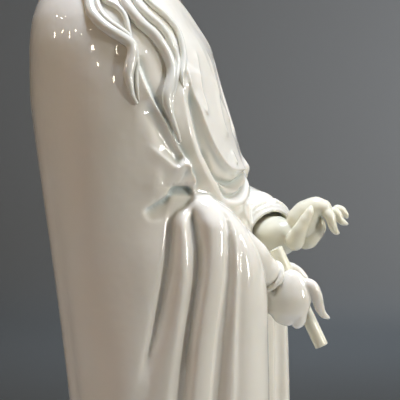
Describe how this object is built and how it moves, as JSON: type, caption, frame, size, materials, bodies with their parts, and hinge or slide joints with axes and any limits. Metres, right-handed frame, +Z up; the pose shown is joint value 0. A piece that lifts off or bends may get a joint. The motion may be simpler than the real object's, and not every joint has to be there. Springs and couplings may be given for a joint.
{
  "type": "guanyin figure",
  "caption": "Standing glazed white porcelain figure in a hooded robe with long pleated sleeves, the left hand raised and the right holding a short scroll, on a low petalled plinth.",
  "frame": {"origin": "centre of the underside of the whole part, on the surface it stands on", "axes": "+Z up; the figure faces -Y, and its right hand is at -X"},
  "size_m": [0.1324, 0.1321, 0.5523],
  "materials": {
    "white_glaze": "high-gloss clear glaze over white porcelain, pooled faintly blue-green in the deep folds",
    "ivory_glaze": "thinner, warmer ivory glaze, less glossy"
  },
  "bodies": {
    "root": {"figure": "white_glaze", "plinth": "white_glaze", "left_hand": "ivory_glaze", "scroll": "ivory_glaze"}
  },
  "joints": []
}
